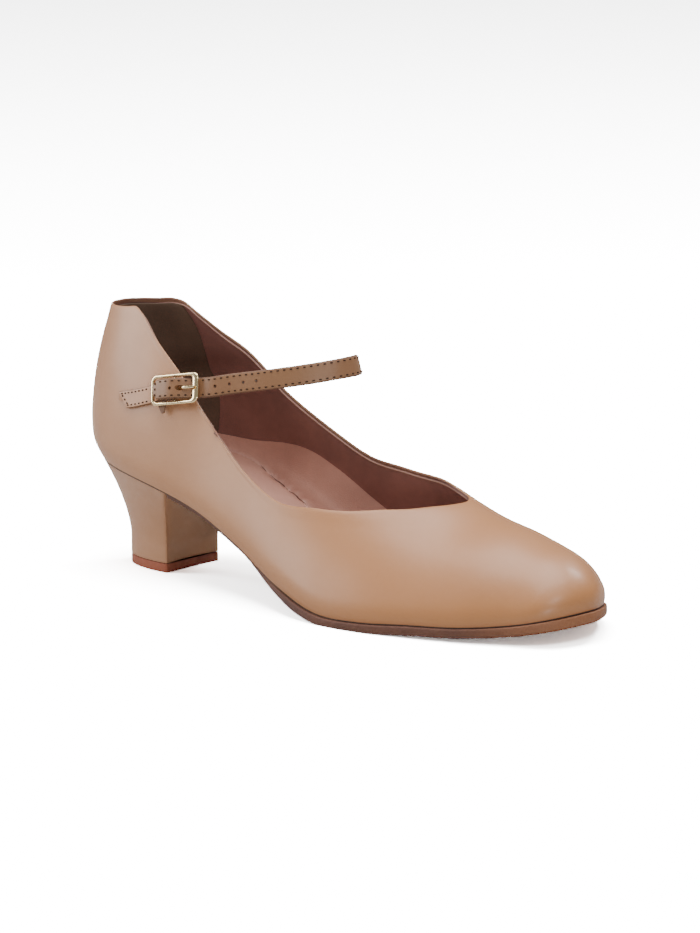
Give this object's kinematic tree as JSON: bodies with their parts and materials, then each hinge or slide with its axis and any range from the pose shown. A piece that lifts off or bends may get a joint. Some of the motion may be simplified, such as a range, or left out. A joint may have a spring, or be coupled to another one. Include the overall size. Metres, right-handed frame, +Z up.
{
  "type": "character shoe",
  "caption": "Tan leather low-heeled court-style stage shoe for the right foot, with a buckled instep strap, covered block heel and thin leather sole.",
  "frame": {"origin": "middle of the top lift's underside, on the floor", "axes": "+X from the heel to the toe, +Y to the inner side of the foot, +Z up"},
  "size_m": [0.2335, 0.078, 0.0976],
  "materials": {
    "upper_leather": "smooth semi-gloss tan leather",
    "strap_leather": "smooth semi-gloss tan leather with two rows of stitches",
    "heel_leather": "smooth leather stretched over a block",
    "insole_sock": "matt dusty rose lining leather",
    "sole_leather": "bare cut edge, slightly rough",
    "lift": "matt reddish brown rubber",
    "buckle_metal": "polished pale gold plate"
  },
  "bodies": {
    "root": {"upper": "upper_leather", "insole": "insole_sock", "outsole": "sole_leather", "heel": "heel_leather", "top_lift": "lift", "strap": "strap_leather", "buckle_tab": "strap_leather", "buckle_frame": "buckle_metal", "buckle_prong": "buckle_metal"}
  },
  "joints": []
}
